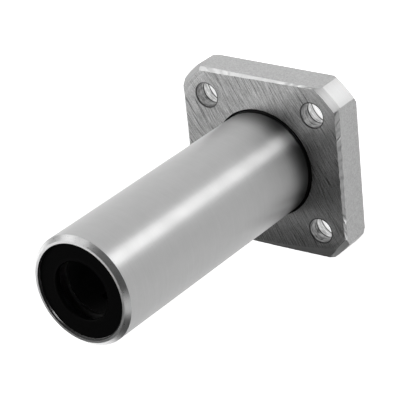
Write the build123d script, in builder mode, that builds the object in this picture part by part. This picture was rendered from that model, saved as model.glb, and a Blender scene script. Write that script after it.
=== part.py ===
from build123d import *
from math import cos, floor, pi, sin, sqrt
import os

# Square flange linear ball bearing for an 8 mm shaft, long pattern, in millimetres.
# A hardened sleeve holds two resin cages end to end. Each cage carries four closed
# circuits of small balls, which roll on the shaft and on raised lands inside the sleeve.
# Z runs along the bore. Z = 0 is the flange's outer face and the sleeve stands up from it.

os.makedirs("parts", exist_ok=True)

# Bearing
shaft_diameter = 8.0
ball_diameter = 1.588
ball_play = 0.012  # radial room left between the shaft, a loaded ball and its raceway
sleeve_wall = 1.9  # behind a raceway
bearing_length = 45.0
sleeve_end_chamfer = 0.6

# Flange, turned round and then cut square
flange_diameter = 32.0
flange_thickness = 5.0
flat_depth = 3.5  # of each flat, cut into the turned disc
flange_turned_bevel = 0.75
flange_edge_break = 0.3
flange_bore_chamfer = 0.3

# Bolt holes, counterbored from the outer face for socket head screws
bolt_count = 4
bolt_rim_wall = 1.0  # between a counterbore and the turned rim
bolt_sleeve_wall = 1.5  # between a counterbore and the sleeve
counterbore_step = 1.25  # the shoulder under a screw's head
counterbore_depth = 3.1

# Undercut round the sleeve's foot, so that a housing seats flat on the flange
undercut_width = 0.5
undercut_depth = 0.25

# Sleeve bore
land_height = 0.82  # of a raceway land above the relieved bore
land_width = 1.9
land_run_in = 0.9  # each land stops short of the turn of its circuit by this much
seat_clearance = 0.02

# Pieces that close each end, from the outside in
seal_recess = 0.35
seal_thickness = 1.2
lip_land = 0.3
lip_bevel = 0.11
lip_relief = 0.35  # how far the seal opens behind its lip
insert_thickness = 0.3
insert_width = 1.6
snap_ring_thickness = 0.6
snap_ring_width = 0.9
snap_ring_bite = 0.3  # how far the ring stands into its groove
snap_ring_gap_angle = 32
side_ring_thickness = 0.5

# Cages
circuit_count = 4
cage_clearance = 0.25  # between the shaft and the cage
cage_play = 0.1  # between the cage and the sleeve's bore and lands
rib_start = 0.35  # a rib starts this far before the middle of its circuit, clear of the land
rib_wall = 0.55  # outside the returning leg's groove
cage_end_play = 0.1
cage_end_wall = 0.9
track_offset = 1.35  # from the middle of a circuit to each of its legs
track_play = 0.056  # beside a ball in its groove
track_floor_play = 0.025  # under a returning ball
slot_start = 0.19  # the slot through to the shaft starts this far below a loaded ball's centre
slot_play = 0.006  # beside a loaded ball, where the slot starts to narrow
slot_taper = 25
slot_run_out = 0.5  # the slot reaches this far into each turn
ball_gap = 0.13  # least gap between neighbouring balls
middle_ring_length = 4.3
middle_ring_wall = 1.0

# Worked out from the sizes above
shaft_radius = shaft_diameter / 2
ball_radius = ball_diameter / 2
load_radius = shaft_radius + ball_radius + ball_play / 2
raceway_radius = shaft_radius + ball_diameter + ball_play
sleeve_radius = raceway_radius + sleeve_wall
relief_radius = raceway_radius + land_height
flange_width = flange_diameter - 2 * flat_depth
bolt_outer_radius = flange_diameter / 2 - bolt_rim_wall
bolt_inner_radius = sleeve_radius + bolt_sleeve_wall
bolt_circle = bolt_outer_radius + bolt_inner_radius
counterbore_diameter = bolt_outer_radius - bolt_inner_radius
bolt_hole_diameter = counterbore_diameter - 2 * counterbore_step

snap_groove_radius = relief_radius + snap_ring_bite + seat_clearance
ring_outer_radius = relief_radius - seat_clearance
insert_start = seal_recess + seal_thickness
snap_ring_start = insert_start + insert_thickness
side_ring_start = snap_ring_start + snap_ring_thickness
cage_start = side_ring_start + side_ring_thickness + cage_end_play
middle = Plane.XY.offset(bearing_length / 2)

cage_bore_radius = shaft_radius + cage_clearance
cage_waist_radius = raceway_radius - cage_play
cage_radius = relief_radius - cage_play
cage_length = (bearing_length - middle_ring_length) / 2 - cage_end_play - cage_start
cage_middle = cage_start + cage_length / 2

load_height = sqrt(load_radius**2 - track_offset**2)
track_floor = load_height - slot_start
return_height = track_floor + track_floor_play + ball_radius
groove_half_width = ball_radius + track_play
slot_half_width = ball_radius + slot_play
rib_end = track_offset + groove_half_width + rib_wall
rib_height = sqrt(cage_radius**2 - rib_end**2)
leg_length = cage_length - 2 * (track_offset + groove_half_width + cage_end_wall)
turn_length = pi * track_offset
ramp_length = land_run_in + turn_length / 4
circuit_length = 2 * (leg_length + turn_length)
balls_in_circuit = floor(circuit_length / (ball_diameter + ball_gap))
land_angle = -Vector(load_height, track_offset).get_angle(Vector(1, 0))
land_length = leg_length - 2 * land_run_in


def circuit_plane(index, height):
    """The plane across a ball circuit: local X is round the cage and local Y along the bore."""
    angle = index * 360 / circuit_count
    outward = Vector(1, 0).rotate(Axis.Z, angle)
    around = Vector(0, 1).rotate(Axis.Z, angle)
    return Plane(outward * height + Vector(0, 0, cage_middle), x_dir=around, z_dir=outward)


def track_point(distance):
    """A ball's centre in the plane of its circuit, this far from the middle of the loaded leg."""
    if distance < 0:
        around, along, outward = track_point(-distance)
        return around, -along, outward
    turn_start = leg_length / 2
    if distance < turn_start:
        around = -track_offset
        along = distance
    elif distance < turn_start + turn_length:
        turn = (distance - turn_start) / track_offset
        around = -track_offset * cos(turn)
        along = turn_start + track_offset * sin(turn)
    else:
        around = track_offset
        along = leg_length + turn_length - distance
    lift = (distance - land_length / 2) / ramp_length
    lift = min(max(lift, 0), 1)
    return around, along, load_height + lift * (return_height - load_height)


# Flange plate, pressed onto the sleeve
with BuildPart() as square_blank:
    Box(
        flange_width,
        flange_width,
        flange_thickness,
        align=(Align.CENTER, Align.CENTER, Align.MIN),
    )
    flat_faces = square_blank.faces().filter_by(Axis.Z)
    chamfer(flat_faces.edges(), flange_edge_break)

with BuildPart() as flange_plate:
    Cylinder(
        flange_diameter / 2,
        flange_thickness,
        align=(Align.CENTER, Align.CENTER, Align.MIN),
    )
    chamfer(flange_plate.edges().filter_by(GeomType.CIRCLE), flange_turned_bevel)
    add(square_blank.part, mode=Mode.INTERSECT)
    with Locations(Plane.XY.offset(flange_thickness)):
        Hole(sleeve_radius)
    with Locations(Plane(origin=(0, 0, 0), z_dir=(0, 0, -1))):
        with PolarLocations(bolt_circle / 2, bolt_count, start_angle=180 / bolt_count):
            CounterBoreHole(
                bolt_hole_diameter / 2, counterbore_diameter / 2, counterbore_depth
            )
    bore_rims = flange_plate.edges().filter_by(
        lambda edge: edge.geom_type == GeomType.CIRCLE
        and abs(edge.radius - sleeve_radius) < seat_clearance
    )
    chamfer(bore_rims, flange_bore_chamfer)
flange_plate.part.label = "flange_plate"
export_step(flange_plate.part, "parts/flange_plate.step")


# Sleeve, with the raceway lands standing in its relieved bore
with BuildPart() as outer_sleeve:
    with BuildSketch():
        Circle(sleeve_radius)
        Circle(relief_radius, mode=Mode.SUBTRACT)
    extrude(amount=bearing_length)
    rims = outer_sleeve.edges().filter_by(GeomType.CIRCLE)
    chamfer(rims.group_by(SortBy.RADIUS)[-1], sleeve_end_chamfer)
    for land_middle in (cage_middle, bearing_length - cage_middle):
        with BuildSketch(Plane.XY.offset(land_middle - land_length / 2)):
            with PolarLocations(relief_radius, circuit_count, start_angle=land_angle):
                Rectangle(2 * land_height, land_width)
            Circle(raceway_radius, mode=Mode.SUBTRACT)
        extrude(amount=land_length)
    for groove_start in (snap_ring_start, bearing_length - side_ring_start):
        with BuildSketch(Plane.XY.offset(groove_start)):
            Circle(snap_groove_radius)
        extrude(amount=snap_ring_thickness, mode=Mode.SUBTRACT)
    with BuildSketch(Plane.XY.offset(flange_thickness)):
        Circle(sleeve_radius)
        Circle(sleeve_radius - undercut_depth, mode=Mode.SUBTRACT)
    extrude(amount=undercut_width, mode=Mode.SUBTRACT)
outer_sleeve.part.label = "outer_sleeve"
export_step(outer_sleeve.part, "parts/outer_sleeve.step")


# Rubber end seal with a lip that wipes the shaft, bonded to a steel insert behind it
with BuildPart() as front_seal:
    with BuildSketch(Plane.XZ):
        with BuildLine():
            Polyline(
                (relief_radius, seal_recess),
                (shaft_radius + lip_bevel, seal_recess),
                (shaft_radius, seal_recess + lip_bevel),
                (shaft_radius, seal_recess + lip_bevel + lip_land),
                (shaft_radius + lip_relief, insert_start),
                (relief_radius, insert_start),
                close=True,
            )
        make_face()
    revolve(axis=Axis.Z)
front_seal.part.label = "front_seal"
export_step(front_seal.part, "parts/front_seal.step")

with BuildPart() as front_seal_insert:
    with BuildSketch(Plane.XY.offset(insert_start)):
        Circle(ring_outer_radius)
        Circle(ring_outer_radius - insert_width, mode=Mode.SUBTRACT)
    extrude(amount=insert_thickness)
front_seal_insert.part.label = "front_seal_insert"
export_step(front_seal_insert.part, "parts/front_seal_insert.step")


# Snap ring in its groove, open over a gap
snap_ring_radius = relief_radius + snap_ring_bite - snap_ring_width / 2
with BuildPart() as front_snap_ring:
    with BuildSketch(Plane.XY.offset(snap_ring_start)):
        with BuildLine():
            CenterArc(
                (0, 0), snap_ring_radius, snap_ring_gap_angle / 2, 360 - snap_ring_gap_angle
            )
        trace(line_width=snap_ring_width)
    extrude(amount=snap_ring_thickness)
front_snap_ring.part.label = "front_snap_ring"
export_step(front_snap_ring.part, "parts/front_snap_ring.step")


# Side ring that stops the cage, held in by the snap ring
with BuildPart() as front_side_ring:
    with BuildSketch(Plane.XY.offset(side_ring_start)):
        Circle(ring_outer_radius)
        Circle(cage_bore_radius, mode=Mode.SUBTRACT)
    extrude(amount=side_ring_thickness)
front_side_ring.part.label = "front_side_ring"
export_step(front_side_ring.part, "parts/front_side_ring.step")


# Resin cage: a tube that passes inside the lands, with a flat rib over each returning leg.
# Each circuit is a racetrack groove, open to the shaft through a tapered slot under its
# loaded leg, so that the balls reach the shaft but can't fall in
with BuildPart() as front_ball_cage:
    with BuildSketch(Plane.XY.offset(cage_start)):
        Circle(cage_waist_radius)
        for index in range(circuit_count):
            with Locations(Location((0, 0), index * 360 / circuit_count)):
                with Locations((rib_height / 2, (rib_end - rib_start) / 2)):
                    Rectangle(rib_height, rib_end + rib_start)
        Circle(cage_bore_radius, mode=Mode.SUBTRACT)
    extrude(amount=cage_length)
    for index in range(circuit_count):
        with BuildSketch(circuit_plane(index, track_floor)):
            SlotCenterToCenter(
                leg_length, 2 * (track_offset + groove_half_width), rotation=90
            )
            Rectangle(
                2 * (track_offset - groove_half_width), leg_length, mode=Mode.SUBTRACT
            )
        extrude(amount=rib_height - track_floor, mode=Mode.SUBTRACT)
        with BuildSketch(circuit_plane(index, track_floor)):
            with Locations((-track_offset, 0)):
                Rectangle(2 * slot_half_width, leg_length + 2 * slot_run_out)
        extrude(amount=-ball_radius, taper=slot_taper, mode=Mode.SUBTRACT)
front_ball_cage.part.label = "front_ball_cage"
export_step(front_ball_cage.part, "parts/front_ball_cage.step")


# Middle ring that keeps the two cages apart
with BuildPart() as middle_ring:
    with BuildSketch(Plane.XY.offset((bearing_length - middle_ring_length) / 2)):
        Circle(cage_radius)
        Circle(cage_radius - middle_ring_wall, mode=Mode.SUBTRACT)
    extrude(amount=middle_ring_length)
middle_ring.part.label = "middle_ring"
export_step(middle_ring.part, "parts/middle_ring.step")


# One ball, and its circuits. So that many balls stay light, each is a cube cut back at its
# corners to the middles of its edges, and those middles lie on the sphere
ball_cube = ball_radius * sqrt(2)
with BuildPart() as ball:
    Box(ball_cube, ball_cube, ball_cube)
    for corner in ((1, 1, 1), (1, -1, 1), (-1, 1, 1), (-1, -1, 1)):
        with BuildSketch(Plane(origin=(0, 0, 0), z_dir=corner)):
            Rectangle(3 * ball_cube, 3 * ball_cube)
        extrude(amount=ball_cube / sqrt(3), both=True, mode=Mode.INTERSECT)

pieces_to_mirror = {
    "seal": front_seal,
    "seal_insert": front_seal_insert,
    "snap_ring": front_snap_ring,
    "side_ring": front_side_ring,
    "ball_cage": front_ball_cage,
}
for index in range(circuit_count):
    plane = circuit_plane(index, 0)
    ball_pitch = circuit_length / balls_in_circuit
    distances = [(place + 0.5) * ball_pitch - circuit_length / 2 for place in range(balls_in_circuit)]
    centres = [plane.from_local_coords(track_point(distance)) for distance in distances]
    with BuildPart() as ball_circuit:
        with Locations(*centres):
            add(ball.part)
    ball_circuit.part.label = f"front_ball_circuit_{index + 1}"
    export_step(ball_circuit.part, f"parts/front_ball_circuit_{index + 1}.step")
    pieces_to_mirror[f"ball_circuit_{index + 1}"] = ball_circuit

# The far end holds the same pieces, mirrored about the middle of the sleeve
for name, piece in pieces_to_mirror.items():
    with BuildPart() as rear_piece:
        mirror(piece.part, about=middle)
    rear_piece.part.label = f"rear_{name}"
    export_step(rear_piece.part, f"parts/rear_{name}.step")
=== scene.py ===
import math
from collections import namedtuple

import bmesh
import bpy
from mathutils import Matrix, Vector, noise


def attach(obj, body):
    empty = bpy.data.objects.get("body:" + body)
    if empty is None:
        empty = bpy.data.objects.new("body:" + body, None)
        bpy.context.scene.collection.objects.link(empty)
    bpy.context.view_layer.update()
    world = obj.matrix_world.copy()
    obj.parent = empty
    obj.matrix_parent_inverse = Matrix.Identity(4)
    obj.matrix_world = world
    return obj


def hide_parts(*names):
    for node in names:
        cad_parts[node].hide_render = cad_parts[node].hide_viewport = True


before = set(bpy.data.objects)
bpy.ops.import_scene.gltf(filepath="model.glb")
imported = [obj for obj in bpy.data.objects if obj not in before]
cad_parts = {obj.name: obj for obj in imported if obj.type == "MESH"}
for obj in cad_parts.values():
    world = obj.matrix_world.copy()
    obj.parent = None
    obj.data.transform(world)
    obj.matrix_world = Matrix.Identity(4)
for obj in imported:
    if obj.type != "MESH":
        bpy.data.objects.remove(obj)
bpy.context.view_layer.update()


MM = 0.001

# Sizes in millimetres, as in the solids. The flange's outer face is Z = 0, and the sleeve stands up
# from the flange along Z

# Sleeve
SLEEVE_RADIUS = 7.5
SLEEVE_LENGTH = 45.0
SLEEVE_CHAMFER = 0.6
SLEEVE_BORE = 6.42
SLEEVE_BORE_BREAK = 0.16
UNDERCUT_DEPTH = 0.25
UNDERCUT_WIDTH = 0.5
SLEEVE_SEGMENTS = 288

# Flange
FLANGE_RADIUS = 16.0
FLANGE_HALF = 12.5
FLANGE_THICKNESS = 5.0
FLANGE_SEGMENTS = 384
TURNED_BEVEL = 0.75
EDGE_BREAK = 0.3
BORE_CHAMFER = 0.3
# How far the tools that cut the flange stand out past it
OVERSHOOT = 1.0

# Bolt holes, on a circle of the radius HOLE_CIRCLE
HOLE_CIRCLE = 12.0
HOLE_PITCH = HOLE_CIRCLE / math.sqrt(2)
HOLE_CORNERS = ((1, 1), (-1, 1), (-1, -1), (1, -1))
HOLE_RADIUS = 1.75
HOLE_SEGMENTS = 96
COUNTERBORE_RADIUS = 3.0
COUNTERBORE_DEPTH = 3.1

# Seals and balls
SHAFT_RADIUS = 4.0
SEAL_RECESS = 0.35
SEAL_THICKNESS = 1.2
SEAL_LIP_BREAK = 0.11
SEAL_LIP_LENGTH = 0.41
SEAL_LIP_FLARE = 0.35
SEAL_SEGMENTS = 192
BALL_RADIUS = 0.794
BALL_SUBDIVISIONS = 3

# Edges of the flange's inner face, broken by hand: the width at the first and the last end of a
# side, how ragged it is, the depth for each millimetre of width, and the power by which it widens.
# The sides go round from +X towards +Y
HandBreak = namedtuple("HandBreak", "first last rough steep power")
HAND_BROKEN = (
    HandBreak(first=0.2, last=0.5, rough=0.12, steep=1.2, power=1),
    HandBreak(first=0.16, last=0.55, rough=0.05, steep=0.8, power=1),
    HandBreak(first=0.3, last=0.3, rough=0.04, steep=0.8, power=1),
    HandBreak(first=0.3, last=1.9, rough=0.04, steep=0.28, power=3),
)
LEAST_BREAK_WIDTH = 0.12
LEAST_BREAK_DEPTH = 0.08
EDGE_STEPS = 96
# How far the block's inner rim stops short of its corners, which the disc cuts away
CORNER_INSET = 1.3

# Raggedness along an edge: waves in half a side, shift from side to side, and layer of the noise
EdgeNoise = namedtuple("EdgeNoise", "waves shift layer")
COARSE_JAGS = EdgeNoise(waves=14, shift=9.7, layer=0)
FINE_JAGS = EdgeNoise(waves=41, shift=5.3, layer=3)
NICKS = EdgeNoise(waves=60, shift=3.1, layer=7)
FINE_JAG_SHARE = 0.6
NICK_SHARE = 1.5

# Camera, fitted to the photograph. Its place is in millimetres, its clipping in metres
CAMERA_PLACE = (153.638, 121.487, 213.871)
CAMERA_RIGHT = (0.80866, -0.09501, -0.58055)
CAMERA_UP = (-0.18690, 0.89424, -0.40669)
CAMERA_AZIMUTH = 38.33
CAMERA_FOCAL_PIXELS = 2121.412
CAMERA_NEAREST = 0.01
CAMERA_FURTHEST = 10
PICTURE_WIDTH = 400
SENSOR_WIDTH = 36.0


def add_camera():
    camera_data = bpy.data.cameras.new("camera")
    camera_data.sensor_width = SENSOR_WIDTH
    camera_data.lens = CAMERA_FOCAL_PIXELS * SENSOR_WIDTH / PICTURE_WIDTH
    camera_data.clip_start = CAMERA_NEAREST
    camera_data.clip_end = CAMERA_FURTHEST
    right = Vector(CAMERA_RIGHT).normalized()
    up = (Vector(CAMERA_UP) - right * right.dot(Vector(CAMERA_UP))).normalized()
    back = right.cross(up)
    camera = bpy.data.objects.new("camera", camera_data)
    turn = Matrix((right, up, back)).transposed()
    camera.matrix_world = Matrix.Translation(Vector(CAMERA_PLACE) * MM) @ turn.to_4x4()
    bpy.context.scene.collection.objects.link(camera)
    bpy.context.scene.camera = camera


add_camera()
bpy.context.scene.view_settings.view_transform = "Standard"


# Node helpers
class Graph:
    """Adds nodes to a material's tree in few words. A value is a number or another node's socket."""

    # Noise keeps mostly between these two values
    NOISE_LOW = 0.3
    NOISE_HIGH = 0.7

    def __init__(self, tree):
        self.tree = tree

    def add(self, kind, **settings):
        node = self.tree.nodes.new(kind)
        for name, value in settings.items():
            setattr(node, name, value)
        return node

    def put(self, value, socket):
        if isinstance(value, bpy.types.NodeSocket):
            self.tree.links.new(value, socket)
        else:
            socket.default_value = value

    def math(self, operation, a, b=0.0, clamp=False):
        node = self.add("ShaderNodeMath", operation=operation, use_clamp=clamp)
        self.put(a, node.inputs[0])
        self.put(b, node.inputs[1])
        return node.outputs[0]

    def plus(self, a, b):
        return self.math("ADD", a, b)

    def minus(self, a, b):
        return self.math("SUBTRACT", a, b)

    def times(self, a, b):
        return self.math("MULTIPLY", a, b)

    def spread(self, value, low, high, to_low=0.0, to_high=1.0, smooth=False):
        """Maps low to to_low and high to to_high, and holds the ends past them."""
        node = self.add("ShaderNodeMapRange")
        node.interpolation_type = "SMOOTHSTEP" if smooth else "LINEAR"
        node.clamp = True
        self.put(value, node.inputs["Value"])
        self.put(low, node.inputs["From Min"])
        self.put(high, node.inputs["From Max"])
        self.put(to_low, node.inputs["To Min"])
        self.put(to_high, node.inputs["To Max"])
        return node.outputs["Result"]

    def vary(self, texture, low, high):
        """A value from low to high, as a noise goes."""
        return self.spread(texture, self.NOISE_LOW, self.NOISE_HIGH, low, high)

    def noise(self, vector, scale, detail=2.0, roughness=0.5):
        node = self.add("ShaderNodeTexNoise")
        self.put(vector, node.inputs["Vector"])
        node.inputs["Scale"].default_value = scale
        node.inputs["Detail"].default_value = detail
        node.inputs["Roughness"].default_value = roughness
        return node.outputs["Fac"]

    def place(self):
        """The point in object space, in millimetres."""
        node = self.add("ShaderNodeVectorMath", operation="SCALE")
        self.put(self.add("ShaderNodeTexCoord").outputs["Object"], node.inputs[0])
        node.inputs["Scale"].default_value = 1 / MM
        return node.outputs["Vector"]

    def split(self, vector):
        node = self.add("ShaderNodeSeparateXYZ")
        self.put(vector, node.inputs[0])
        return node.outputs[0], node.outputs[1], node.outputs[2]

    def join(self, x, y, z):
        node = self.add("ShaderNodeCombineXYZ")
        self.put(x, node.inputs[0])
        self.put(y, node.inputs[1])
        self.put(z, node.inputs[2])
        return node.outputs[0]

    def length(self, x, y):
        """How far (x, y) is from (0, 0)."""
        node = self.add("ShaderNodeVectorMath", operation="LENGTH")
        self.put(self.join(x, y, 0.0), node.inputs[0])
        return node.outputs["Value"]

    def bump(self, height, strength, distance_mm):
        node = self.add("ShaderNodeBump")
        node.inputs["Strength"].default_value = strength
        node.inputs["Distance"].default_value = distance_mm * MM
        self.put(height, node.inputs["Height"])
        return node.outputs["Normal"]


def new_material(name, metallic=1.0):
    """A material with its node helper and its shader. It is metal unless metallic says otherwise."""
    material = bpy.data.materials.new(name)
    material.use_nodes = True
    shader = material.node_tree.nodes["Principled BSDF"]
    shader.inputs["Metallic"].default_value = metallic
    return material, Graph(material.node_tree), shader


def surface(g, shader, level, rough, bump):
    """Gives a shader its level of grey, its roughness and its bumped normal."""
    g.put(g.join(level, level, level), shader.inputs["Base Color"])
    g.put(rough, shader.inputs["Roughness"])
    g.put(bump, shader.inputs["Normal"])


def ring_gloss(g, shader, anisotropy):
    """Stretches the gloss as fine rings round the axis do."""
    shader.inputs["Anisotropic"].default_value = anisotropy
    shader.inputs["Anisotropic Rotation"].default_value = 0.25
    tangent = g.add("ShaderNodeTangent", direction_type="RADIAL", axis="Z")
    g.put(tangent.outputs[0], shader.inputs["Tangent"])


def grey(level):
    return (level, level, level, 1.0)


# Materials. Levels of grey are linear, and lengths are in millimetres

# A tool's lines are noise whose scale along the tool's path is this share of the scale across it
GRINDING_SQUEEZE = 0.02
DRILLING_SQUEEZE = 0.25
STROKE_SQUEEZE = 0.06
SCRATCH_SQUEEZE = 0.05
# The share of a tool's lines in its marks, of which the rest is blotches
LINE_SHARE = 0.6
# Painted shade: the sleeve's colour darkens from this height down to the undercut, in place of the
# dark flange that its foot mirrors
FOOT_PAINTED_SHADE_TOP = 9.8
FOOT_PAINTED_SHADE = 0.2
# The flange's faces were ground in strokes at this angle from X, some of them deep. The turning
# marks under them come through between these two radii
STROKE_ANGLE = math.radians(-59)
SCRATCH_DEPTH = 0.25
TURNED_MARKS = (13.2, 14.4)
TURNED_MARKS_SHARE = 0.8
# Painted shade: a dark rim lies round each bolt hole on the flange's face, between these distances
# from the hole's edge
HOLE_PAINTED_SHADE_RIM = (0.06, 0.2)
HOLE_RIM_PAINTED_SHADE = 0.2
# Inside a hole, by height: where the painted highlight at the outer face ends, and the dark lines of
# painted shade
HOLE_PAINTED_HIGHLIGHT = (0.42, 0.52)
HOLE_PAINTED_HIGHLIGHT_LEVEL = 0.95
HOLE_PAINTED_SHADE_LINES = (
    (0.52, 0.66),
    (COUNTERBORE_DEPTH + 0.02, COUNTERBORE_DEPTH + 0.22),
    (FLANGE_THICKNESS - 0.16, FLANGE_THICKNESS + OVERSHOOT),
)
HOLE_LINE_BLUR = 0.03
HOLE_LINE_SHADE = 0.12
# The seal's lip is polished up to the first of these distances from the shaft, and the polish fades
# out by the second
LIP_POLISH = (0.12, 0.4)


def tool_marks(g, lines, blotches):
    """The lines that a tool left, with blotches among them."""
    return g.plus(g.times(lines, LINE_SHARE), g.times(blotches, 1 - LINE_SHARE))


def ground_steel():
    """The sleeve: hardened steel, centreless ground round its axis, with painted shade at its foot."""
    material, g, shader = new_material("ground_steel")
    place = g.place()
    x, y, z = g.split(place)
    round_axis = g.join(g.times(x, GRINDING_SQUEEZE), g.times(y, GRINDING_SQUEEZE), z)
    rings = g.noise(round_axis, scale=9.0, detail=3.0, roughness=0.6)
    cloud = g.noise(place, scale=0.35, detail=2.0)
    level = g.plus(g.vary(rings, -0.012, 0.012), g.vary(cloud, 0.42, 0.45))
    foot = FLANGE_THICKNESS + UNDERCUT_WIDTH
    # Painted shade: the colour darkens down to the undercut
    level = g.times(level, g.spread(z, foot, FOOT_PAINTED_SHADE_TOP, FOOT_PAINTED_SHADE, 1.0, smooth=True))
    surface(g, shader, level, g.vary(cloud, 0.35, 0.38), g.bump(rings, 0.05, 0.01))
    ring_gloss(g, shader, 0.9)
    return material


def turned_steel(name, level, rough, anisotropy):
    """Turned or polished rings about the axis: chamfers, end faces and the flange's corners."""
    material, g, shader = new_material(name)
    place = g.place()
    x, y, z = g.split(place)
    lines = g.noise(g.join(g.length(x, y), z, 0.0), scale=7.0, detail=3.0, roughness=0.6)
    speckle = g.noise(place, scale=6.0, detail=3.0, roughness=0.6)
    marks = tool_marks(g, lines, speckle)
    shade = g.spread(marks, 0.35, 0.65, level * 0.93, level * 1.07)
    surface(g, shader, shade, g.vary(speckle, rough * 0.9, rough * 1.1), g.bump(marks, 0.1, 0.01))
    ring_gloss(g, shader, anisotropy)
    return material


def hole_steel():
    """The drilled and counterbored walls: dull tool marks, with painted shade in dark lines across
    them and a painted highlight at the outer face.
    """
    material, g, shader = new_material("bored_hole_steel")
    place = g.place()
    x, y, z = g.split(place)
    round_hole = g.join(g.times(x, DRILLING_SQUEEZE), g.times(y, DRILLING_SQUEEZE), z)
    turns = g.noise(round_hole, scale=3.2, detail=3.0, roughness=0.7)
    blotch = g.noise(place, scale=1.3, detail=3.0, roughness=0.6)
    marks = tool_marks(g, turns, blotch)
    drilled = g.spread(z, COUNTERBORE_DEPTH - 0.02, COUNTERBORE_DEPTH + 0.02)
    narrow = g.spread(marks, 0.38, 0.62, 0.08, 0.5)
    wide = g.spread(marks, 0.38, 0.62, 0.3, 0.85)
    level = g.plus(wide, g.times(g.minus(narrow, wide), drilled))
    # Painted highlight: a bright band at the outer face
    lip_and_painted_highlight = g.spread(z, *HOLE_PAINTED_HIGHLIGHT, 1.0, 0.0)
    level = g.math("MAXIMUM", level, g.times(lip_and_painted_highlight, HOLE_PAINTED_HIGHLIGHT_LEVEL))
    # Painted shade: dark lines across the wall at the listed heights
    for low, high in HOLE_PAINTED_SHADE_LINES:
        above = g.spread(z, low - HOLE_LINE_BLUR, low)
        below = g.spread(z, high, high + HOLE_LINE_BLUR, 1.0, 0.0)
        level = g.times(level, g.spread(g.times(above, below), 0.0, 1.0, 1.0, HOLE_LINE_SHADE))
    surface(g, shader, level, g.vary(marks, 0.28, 0.42), g.bump(marks, 0.5, 0.05))
    return material


def side_steel():
    """The flange's flat sides: fine milled, with a speckle."""
    material, g, shader = new_material("flange_side_steel")
    speckle = g.noise(g.place(), scale=5.0, detail=4.0, roughness=0.65)
    level = g.vary(speckle, 0.29, 0.47)
    surface(g, shader, level, g.vary(speckle, 0.42, 0.5), g.bump(speckle, 0.4, 0.04))
    return material


def flange_steel():
    """The flange's faces, ground in straight strokes, with turning marks left near the corners and
    painted shade round the bolt holes.
    """
    material, g, shader = new_material("flange_steel")
    place = g.place()
    x, y, _ = g.split(place)
    radius = g.length(x, y)

    # Strokes, some of them deep, which wander a little from straight
    wander = g.vary(g.noise(place, scale=0.1, detail=1.0), -0.5, 0.5)
    along = g.plus(g.times(x, math.cos(STROKE_ANGLE)), g.times(y, math.sin(STROKE_ANGLE)))
    across = g.plus(g.times(x, -math.sin(STROKE_ANGLE)), g.times(y, math.cos(STROKE_ANGLE)))
    across = g.plus(across, wander)
    fine_strokes = g.join(g.times(along, STROKE_SQUEEZE), across, 0.0)
    strokes = g.noise(fine_strokes, scale=6.5, detail=4.0, roughness=0.8)
    deep_strokes = g.join(g.times(along, SCRATCH_SQUEEZE), across, 7.0)
    deep = g.spread(g.noise(deep_strokes, scale=4.2, detail=1.0, roughness=0.5), 0.6, 0.66)
    scratches = g.times(deep, SCRATCH_DEPTH)

    # Turning marks take over from the strokes towards the corners
    rings = g.noise(g.join(radius, 0.0, 0.0), scale=6.0, detail=3.0, roughness=0.6)
    turned = g.spread(radius, *TURNED_MARKS, 0.0, TURNED_MARKS_SHARE)
    marks = g.plus(g.times(strokes, g.minus(1.0, turned)), g.times(rings, turned))
    speckle = g.noise(place, scale=5.0, detail=3.0, roughness=0.6)
    height = g.minus(g.plus(marks, g.times(speckle, 0.3)), scratches)

    level = g.plus(g.spread(marks, 0.37, 0.63, 0.35, 0.8), g.vary(speckle, -0.1, 0.1))
    level = g.minus(level, scratches)
    from_hole_x = g.minus(g.math("ABSOLUTE", x), HOLE_PITCH)
    from_hole_y = g.minus(g.math("ABSOLUTE", y), HOLE_PITCH)
    from_hole = g.length(from_hole_x, from_hole_y)
    rim_start, rim_end = HOLE_PAINTED_SHADE_RIM
    # Painted shade round the bolt holes
    rim_painted_shade = g.spread(from_hole, HOLE_RADIUS + rim_start, HOLE_RADIUS + rim_end, HOLE_RIM_PAINTED_SHADE, 1.0)
    surface(g, shader, g.times(level, rim_painted_shade), g.vary(speckle, 0.33, 0.39), g.bump(height, 0.7, 0.05))
    return material


def seal_rubber():
    """Black rubber, polished at the lip by the shaft."""
    material, g, shader = new_material("seal_rubber", metallic=0.0)
    place = g.place()
    x, y, _ = g.split(place)
    mottle = g.noise(place, scale=4.0, detail=3.0)
    polish_start, polish_end = LIP_POLISH
    lip_and_painted_highlight = g.spread(g.length(x, y), SHAFT_RADIUS + polish_start, SHAFT_RADIUS + polish_end, 1.0, 0.0)
    rough = g.minus(g.vary(mottle, 0.62, 0.78), g.times(lip_and_painted_highlight, 0.35))
    surface(g, shader, g.vary(mottle, 0.001, 0.003), rough, g.bump(mottle, 0.1, 0.02))
    shader.inputs["Specular IOR Level"].default_value = 0.03
    return material


def plain_steel(name, level, rough, scale):
    """Steel with an even grain, for inner parts, balls and broken edges, and near black for painted
    shade in recesses.
    """
    material, g, shader = new_material(name)
    marks = g.noise(g.place(), scale=scale, detail=3.0, roughness=0.6)
    shade = g.vary(marks, level * 0.93, level * 1.05)
    surface(g, shader, shade, g.vary(marks, rough * 0.85, rough * 1.15), g.bump(marks, 0.15, 0.01))
    return material


def cage_resin():
    """Dark moulded resin with a fine grain."""
    material, g, shader = new_material("cage_resin", metallic=0.0)
    grain = g.noise(g.place(), scale=8.0, detail=3.0)
    surface(g, shader, g.vary(grain, 0.018, 0.03), g.vary(grain, 0.35, 0.5), g.bump(grain, 0.15, 0.02))
    return material


sleeve_steel = ground_steel()
end_steel = turned_steel("sleeve_end_steel", level=0.8, rough=0.3, anisotropy=0.0)
corner_steel = turned_steel("flange_corner_steel", level=0.47, rough=0.46, anisotropy=0.8)
flat_steel = side_steel()
bored_steel = hole_steel()
edge_steel = plain_steel("broken_edge_steel", level=0.7, rough=0.4, scale=6.0)
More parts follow.
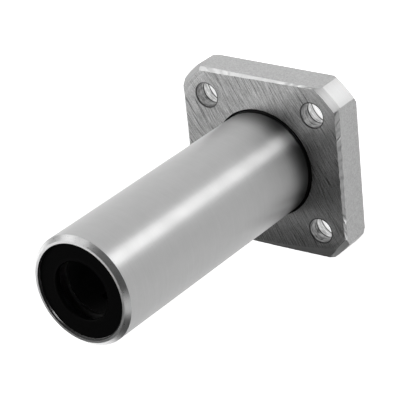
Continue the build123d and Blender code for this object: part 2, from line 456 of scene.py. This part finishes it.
# Painted shade: near black steel in the sleeve's undercut, at its bore's edges and on the flange's
# bore chamfer
recess_painted_shade_steel = plain_steel("dark_recess_steel", level=0.05, rough=0.5, scale=4.0)
plate_steel = flange_steel()
rubber = seal_rubber()
pressed_steel = plain_steel("pressed_steel", level=0.5, rough=0.35, scale=3.0)
spring_steel = plain_steel("spring_steel", level=0.3, rough=0.3, scale=6.0)
ball_steel = plain_steel("ball_steel", level=0.62, rough=0.12, scale=2.0)
resin = cage_resin()

NODE_MATERIALS = {
    "flange_plate": plate_steel,
    "outer_sleeve": sleeve_steel,
    "seal": rubber,
    "seal_insert": pressed_steel,
    "snap_ring": spring_steel,
    "side_ring": pressed_steel,
    "ball_cage": resin,
    "middle_ring": resin,
    "ball_circuit": ball_steel,
}


def dress_nodes():
    """Each solid gets the material of its kind, also where a piece stands for it."""
    for name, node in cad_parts.items():
        kind = name.replace("front_", "").replace("rear_", "")
        kind = kind.rstrip("0123456789").rstrip("_")
        node.data.materials.clear()
        node.data.materials.append(NODE_MATERIALS[kind])


dress_nodes()


# Mesh helpers. Profiles are given in millimetres

# Edges that turn by more than this many degrees stay sharp
SHARP_ANGLE = 25
BALL_SHARP_ANGLE = 60
# Points nearer to each other than this, in metres, become one. The finer one is for edges that are
# no longer than a point, and for the flange once it is cut
WELD = 1e-7
FINE_WELD = 1e-8
# The middle of a face lies on a surface that is nearer than this, in millimetres
ON_SURFACE = 0.01
# How far along Z a normal of unit length reaches: on a level face, on an end or chamfer of the
# sleeve, and on a broken edge
LEVEL_FACE = 0.99
END_FACE = 0.5
SLOPING_FACE = 0.3


def new_bmesh(mesh_maker):
    """A bmesh that mesh_maker fills, with its normals outward."""
    bm = bmesh.new()
    mesh_maker(bm)
    bmesh.ops.recalc_face_normals(bm, faces=bm.faces)
    return bm


def new_object(name, bm):
    """Makes an object of the scene from a bmesh, and frees the bmesh."""
    mesh = bpy.data.meshes.new(name)
    bm.to_mesh(mesh)
    bm.free()
    solid = bpy.data.objects.new(name, mesh)
    bpy.context.scene.collection.objects.link(solid)
    return solid


def finish_piece(name, mesh_maker, materials, node, sharp=SHARP_ANGLE, pick=None):
    """Makes a smooth-shaded object, and puts it in place of the named node.
    pick gives the number of a face's material from its middle and its normal."""
    bm = new_bmesh(mesh_maker)
    limit = math.radians(sharp)
    for face in bm.faces:
        face.smooth = True
        if pick:
            face.material_index = pick(face.calc_center_median() / MM, face.normal)
    for edge in bm.edges:
        if edge.is_manifold:
            edge.smooth = edge.calc_face_angle(0) < limit
    piece = new_object(name, bm)
    for material in materials:
        piece.data.materials.append(material)
    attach(piece, "root")
    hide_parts(node)


def lathe(bm, profile, segments, capped=False):
    """Turns a profile of (radius, height) points round the axis. A closed profile makes a tube,
    and a capped one, whose last point isn't joined to its first, a solid with two flat ends."""
    rings = []
    for step in range(segments):
        angle = 2 * math.pi * step / segments
        c, s = math.cos(angle), math.sin(angle)
        rings.append([bm.verts.new((r * c * MM, r * s * MM, z * MM)) for r, z in profile])
    stretches = len(profile) - 1 if capped else len(profile)
    for here, there in zip(rings, rings[1:] + rings[:1]):
        for i in range(stretches):
            j = (i + 1) % len(profile)
            bm.faces.new((here[i], there[i], there[j], here[j]))
    if capped:
        bm.faces.new([ring[0] for ring in rings])
        bm.faces.new([ring[-1] for ring in rings])


# Sleeve and seals
def make_sleeve(bm):
    foot = FLANGE_THICKNESS
    inner = SLEEVE_RADIUS - UNDERCUT_DEPTH
    profile = [
        (SLEEVE_BORE, SLEEVE_BORE_BREAK),
        (SLEEVE_BORE + SLEEVE_BORE_BREAK, 0.0),
        (SLEEVE_RADIUS - SLEEVE_CHAMFER, 0.0),
        (SLEEVE_RADIUS, SLEEVE_CHAMFER),
        (SLEEVE_RADIUS, foot),
        (inner, foot),
        (inner, foot + UNDERCUT_WIDTH),
        (SLEEVE_RADIUS, foot + UNDERCUT_WIDTH),
        (SLEEVE_RADIUS, SLEEVE_LENGTH - SLEEVE_CHAMFER),
        (SLEEVE_RADIUS - SLEEVE_CHAMFER, SLEEVE_LENGTH),
        (SLEEVE_BORE + SLEEVE_BORE_BREAK, SLEEVE_LENGTH),
        (SLEEVE_BORE, SLEEVE_LENGTH - SLEEVE_BORE_BREAK),
    ]
    lathe(bm, profile, SLEEVE_SEGMENTS)


SLEEVE_FINISHES = (sleeve_steel, end_steel, recess_painted_shade_steel)
SLEEVE_GROUND, SLEEVE_END, SLEEVE_PAINTED_SHADE = range(3)


def sleeve_finish(middle, normal):
    """The finish of a face of the sleeve: painted shade in the undercut and at the bore's edges,
    turned on the chamfers and end faces, and ground elsewhere."""
    radius = math.hypot(middle.x, middle.y)
    if radius < SLEEVE_BORE + SLEEVE_BORE_BREAK and abs(normal.z) > SLOPING_FACE:
        return SLEEVE_PAINTED_SHADE
    from_undercut = abs(middle.z - FLANGE_THICKNESS - UNDERCUT_WIDTH / 2)
    if from_undercut < UNDERCUT_WIDTH and radius < SLEEVE_RADIUS - ON_SURFACE:
        return SLEEVE_PAINTED_SHADE
    return SLEEVE_END if abs(normal.z) > END_FACE else SLEEVE_GROUND


def make_front_seal(bm):
    far = SEAL_RECESS + SEAL_THICKNESS
    profile = [
        (SLEEVE_BORE, SEAL_RECESS),
        (SHAFT_RADIUS + SEAL_LIP_BREAK, SEAL_RECESS),
        (SHAFT_RADIUS, SEAL_RECESS + SEAL_LIP_BREAK),
        (SHAFT_RADIUS, SEAL_RECESS + SEAL_LIP_LENGTH),
        (SHAFT_RADIUS + SEAL_LIP_FLARE, far),
        (SLEEVE_BORE, far),
    ]
    lathe(bm, profile, SEAL_SEGMENTS)


def make_rear_seal(bm):
    make_front_seal(bm)
    for vertex in bm.verts:
        vertex.co.z = SLEEVE_LENGTH * MM - vertex.co.z


# Flange: a turned disc cut square, with its bore and counterbored holes
def turned_solid(name, profile, segments):
    return new_object(name, new_bmesh(lambda bm: lathe(bm, profile, segments, capped=True)))


def edge_noise(kind, side, along):
    return noise.noise(Vector((along * kind.waves, side * kind.shift, kind.layer)))


def broken_edge(side, along):
    """How wide and how deep the inner face's edge was broken by hand, at a place from -1 to 1
    along a side."""
    shape = HAND_BROKEN[side]
    width = shape.first + (shape.last - shape.first) * ((along + 1) / 2) ** shape.power
    jag = edge_noise(COARSE_JAGS, side, along) + FINE_JAG_SHARE * edge_noise(FINE_JAGS, side, along)
    width = max(width + shape.rough * jag, LEAST_BREAK_WIDTH)
    nick = NICK_SHARE * shape.rough * edge_noise(NICKS, side, along)
    return width, max(width * shape.steep + nick, LEAST_BREAK_DEPTH)


def make_square(bm):
    """The square block that the disc is cut to. Its rim at Z = 0 has an even bevel."""
    rings = [[], [], [], []]
    for side in range(4):
        turn = Matrix.Rotation(side * math.pi / 2, 3, "Z")
        outward = turn @ Vector((1, 0, 0))
        around = turn @ Vector((0, 1, 0))
        for step in range(EDGE_STEPS + 1):
            along = 2 * step / EDGE_STEPS - 1
            width, depth = broken_edge(side, along)
            edge = outward * FLANGE_HALF + around * FLANGE_HALF * along
            inner = outward * (FLANGE_HALF - width) + around * (FLANGE_HALF - CORNER_INSET) * along
            foot = edge - outward * EDGE_BREAK - around * EDGE_BREAK * along
            low_edge = Vector((edge.x, edge.y, EDGE_BREAK))
            edge.z = FLANGE_THICKNESS - depth
            inner.z = FLANGE_THICKNESS
            for ring, point in zip(rings, (foot, low_edge, edge, inner)):
                ring.append(bm.verts.new(point * MM))
    count = len(rings[0])
    for lower, upper in zip(rings, rings[1:]):
        for i in range(count):
            j = (i + 1) % count
            bm.faces.new((lower[i], lower[j], upper[j], upper[i]))
    bm.faces.new(rings[0])
    bm.faces.new(rings[-1])
    bmesh.ops.remove_doubles(bm, verts=rings[0] + rings[1], dist=WELD)
    bmesh.ops.dissolve_degenerate(bm, edges=bm.edges, dist=FINE_WELD)


def cut(target, tool, operation):
    modifier = target.modifiers.new(tool.name, "BOOLEAN")
    modifier.operation = operation
    modifier.object = tool
    modifier.solver = "EXACT"


def evaluated_mesh(solid):
    """The mesh of a solid with its cuts made."""
    graph = bpy.context.evaluated_depsgraph_get()
    return bpy.data.meshes.new_from_object(solid.evaluated_get(graph))


FLANGE_FINISHES = (plate_steel, flat_steel, corner_steel, bored_steel, edge_steel, recess_painted_shade_steel)
FLANGE_FACE, FLANGE_SIDE, FLANGE_CORNER, FLANGE_HOLE, FLANGE_EDGE, FLANGE_PAINTED_SHADE = range(6)
# A face of the block looks along X or Y, and its normal reaches less than this along the other
SQUARE_ON = 0.2


def flange_finish(middle, normal):
    """The finish of a face of the flange, told by where the face lies and which way it looks."""
    radius = math.hypot(middle.x, middle.y)
    from_face = min(middle.z, FLANGE_THICKNESS - middle.z)
    if abs(normal.z) > LEVEL_FACE and from_face < ON_SURFACE:
        return FLANGE_FACE
    # Painted shade on the flange's bore chamfer round the sleeve
    if radius < SLEEVE_RADIUS + BORE_CHAMFER + ON_SURFACE:
        return FLANGE_PAINTED_SHADE
    from_hole = min(
        math.hypot(middle.x - x * HOLE_PITCH, middle.y - y * HOLE_PITCH)
        for x, y in HOLE_CORNERS
    )
    if from_hole < COUNTERBORE_RADIUS + ON_SURFACE:
        return FLANGE_HOLE
    bevel_foot = radius - FLANGE_RADIUS + TURNED_BEVEL
    from_turned = min(
        abs(radius - FLANGE_RADIUS),
        abs(bevel_foot - middle.z),
        abs(bevel_foot - FLANGE_THICKNESS + middle.z),
    )
    square_on = min(abs(normal.x), abs(normal.y)) < SQUARE_ON
    if from_turned < 2 * ON_SURFACE and not square_on:
        return FLANGE_CORNER
    return FLANGE_EDGE if abs(normal.z) > SLOPING_FACE else FLANGE_SIDE


def add_flange():
    disc = turned_solid("disc", [
        (FLANGE_RADIUS - TURNED_BEVEL, 0.0),
        (FLANGE_RADIUS, TURNED_BEVEL),
        (FLANGE_RADIUS, FLANGE_THICKNESS - TURNED_BEVEL),
        (FLANGE_RADIUS - TURNED_BEVEL, FLANGE_THICKNESS),
    ], FLANGE_SEGMENTS)
    square = new_object("square", new_bmesh(make_square))
    bore = turned_solid("bore", [
        (SLEEVE_RADIUS + BORE_CHAMFER + OVERSHOOT, -OVERSHOOT),
        (SLEEVE_RADIUS, BORE_CHAMFER),
        (SLEEVE_RADIUS, FLANGE_THICKNESS - BORE_CHAMFER),
        (SLEEVE_RADIUS + BORE_CHAMFER + OVERSHOOT, FLANGE_THICKNESS + OVERSHOOT),
    ], SLEEVE_SEGMENTS)
    tools = [(square, "INTERSECT"), (bore, "DIFFERENCE")]
    for index in range(4):
        hole = turned_solid(f"hole_{index}", [
            (COUNTERBORE_RADIUS, -OVERSHOOT),
            (COUNTERBORE_RADIUS, COUNTERBORE_DEPTH),
            (HOLE_RADIUS, COUNTERBORE_DEPTH),
            (HOLE_RADIUS, FLANGE_THICKNESS + OVERSHOOT),
        ], HOLE_SEGMENTS)
        angle = math.radians(45 + 90 * index)
        shift = Vector((math.cos(angle), math.sin(angle), 0)) * HOLE_CIRCLE * MM
        hole.data.transform(Matrix.Translation(shift))
        tools.append((hole, "DIFFERENCE"))
    for tool, operation in tools:
        cut(disc, tool, operation)
    mesh = evaluated_mesh(disc)
    for tool, _ in tools:
        bpy.data.objects.remove(tool)
    bpy.data.objects.remove(disc)

    def maker(bm):
        bm.from_mesh(mesh)
        bmesh.ops.remove_doubles(bm, verts=bm.verts, dist=FINE_WELD)

    finish_piece("flange", maker, FLANGE_FINISHES, "flange_plate", pick=flange_finish)


# Balls as true spheres, at the middles of the solids' lighter ones
def islands(bm):
    """The lists of points that edges join, in the same order each run."""
    found = []
    seen = set()
    for first in bm.verts:
        if first in seen:
            continue
        seen.add(first)
        island = [first]
        for point in island:
            for edge in point.link_edges:
                for vertex in edge.verts:
                    if vertex not in seen:
                        seen.add(vertex)
                        island.append(vertex)
        found.append(island)
    return found


def balls_of(node):
    """A maker of the spheres that stand for a circuit's solid balls."""
    def maker(bm):
        source = bmesh.new()
        source.from_mesh(node.data)
        source.transform(node.matrix_world)
        bmesh.ops.remove_doubles(source, verts=source.verts, dist=WELD)
        for island in islands(source):
            middle = sum((vertex.co for vertex in island), Vector()) / len(island)
            place = Matrix.Translation(middle)
            radius = BALL_RADIUS * MM
            bmesh.ops.create_icosphere(bm, subdivisions=BALL_SUBDIVISIONS, radius=radius, matrix=place)
        source.free()
    return maker


def add_balls():
    for name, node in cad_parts.items():
        if "ball_circuit" in name:
            maker = balls_of(node)
            finish_piece(f"{name}_balls", maker, (ball_steel,), name, BALL_SHARP_ANGLE)


add_balls()
add_flange()
finish_piece("sleeve", make_sleeve, SLEEVE_FINISHES, "outer_sleeve", pick=sleeve_finish)
finish_piece("seal_at_flange", make_front_seal, (rubber,), "front_seal")
finish_piece("seal_at_free_end", make_rear_seal, (rubber,), "rear_seal")


# Stage: a plain white floor, a hair below the flange. Its sizes are in metres
FLOOR_RADIUS = 3.0
FLOOR_DROP = 0.00002
FLOOR_SEGMENTS = 96
FLOOR_COLOUR = 0.8
# What the camera, metal and glass see of the floor's white by itself, with no lamp on it
FLOOR_GLOW = 0.85


def floor_material():
    """A white that keeps shadows, and glows only for the camera and for reflections in the object."""
    material = bpy.data.materials.new("floor")
    material.use_nodes = True
    material.node_tree.nodes.clear()
    g = Graph(material.node_tree)
    diffuse = g.add("ShaderNodeBsdfDiffuse")
    diffuse.inputs["Color"].default_value = grey(FLOOR_COLOUR)
    path = g.add("ShaderNodeLightPath")
    mirrored = g.plus(path.outputs["Is Glossy Ray"], path.outputs["Is Transmission Ray"])
    seen = g.math("ADD", mirrored, path.outputs["Is Camera Ray"], clamp=True)
    glow = g.add("ShaderNodeEmission")
    g.put(g.times(seen, FLOOR_GLOW), glow.inputs["Strength"])
    both = g.add("ShaderNodeAddShader")
    g.put(diffuse.outputs[0], both.inputs[0])
    g.put(glow.outputs[0], both.inputs[1])
    out = g.add("ShaderNodeOutputMaterial")
    g.put(both.outputs[0], out.inputs[0])
    return material


def add_floor():
    bm = bmesh.new()
    bmesh.ops.create_circle(bm, cap_ends=True, segments=FLOOR_SEGMENTS, radius=FLOOR_RADIUS)
    floor = new_object("floor", bm)
    floor.location.z = -FLOOR_DROP
    floor.data.materials.append(floor_material())


add_floor()

# Light. Azimuths are measured from the camera's own, and lengths are in metres
LAMP_DISTANCE = 1.5
LAMPS_AIM_AT = Vector((0, 0, 0.02))
WORLD_LIGHT = 0.03


def direction(azimuth, elevation):
    a = math.radians(CAMERA_AZIMUTH + azimuth)
    e = math.radians(elevation)
    return Vector((math.cos(e) * math.cos(a), math.cos(e) * math.sin(a), math.sin(e)))


def add_lamp(name, azimuth, elevation, width, height, radiance, distance=LAMP_DISTANCE):
    """A soft rectangle of light. The radiance is what a mirror would show."""
    lamp_data = bpy.data.lights.new(name, "AREA")
    lamp_data.shape = "RECTANGLE"
    lamp_data.size = width
    lamp_data.size_y = height
    lamp_data.energy = radiance * math.pi * width * height
    lamp = bpy.data.objects.new(name, lamp_data)
    toward = direction(azimuth, elevation)
    turn = toward.to_track_quat("Z", "Y").to_matrix().to_4x4()
    lamp.matrix_world = Matrix.Translation(toward * distance + LAMPS_AIM_AT) @ turn
    bpy.context.scene.collection.objects.link(lamp)


def add_world():
    world = bpy.data.worlds.new("studio")
    bpy.context.scene.world = world
    world.use_nodes = True
    background = world.node_tree.nodes["Background"]
    background.inputs["Color"].default_value = grey(1.0)
    background.inputs["Strength"].default_value = WORLD_LIGHT


add_lamp("key", azimuth=90, elevation=50, width=0.7, height=0.7, radiance=2.7)
add_lamp("left_softbox", azimuth=144, elevation=28, width=0.8, height=0.7, radiance=2.3)
add_lamp("side_softbox", azimuth=108, elevation=28, width=0.8, height=0.7, radiance=1.1)
add_lamp("right_card", azimuth=-72, elevation=28, width=0.9, height=0.7, radiance=0.65)
add_lamp("overhead", azimuth=0, elevation=90, width=1.1, height=1.1, radiance=0.4)
add_lamp("near_card", azimuth=145, elevation=48, width=0.06, height=0.06, radiance=1.25, distance=0.09)
# A strip low in front, which the sleeve shows as its bright band
add_lamp("front_strip", azimuth=11, elevation=4, width=0.6, height=0.35, radiance=24.0)
add_world()
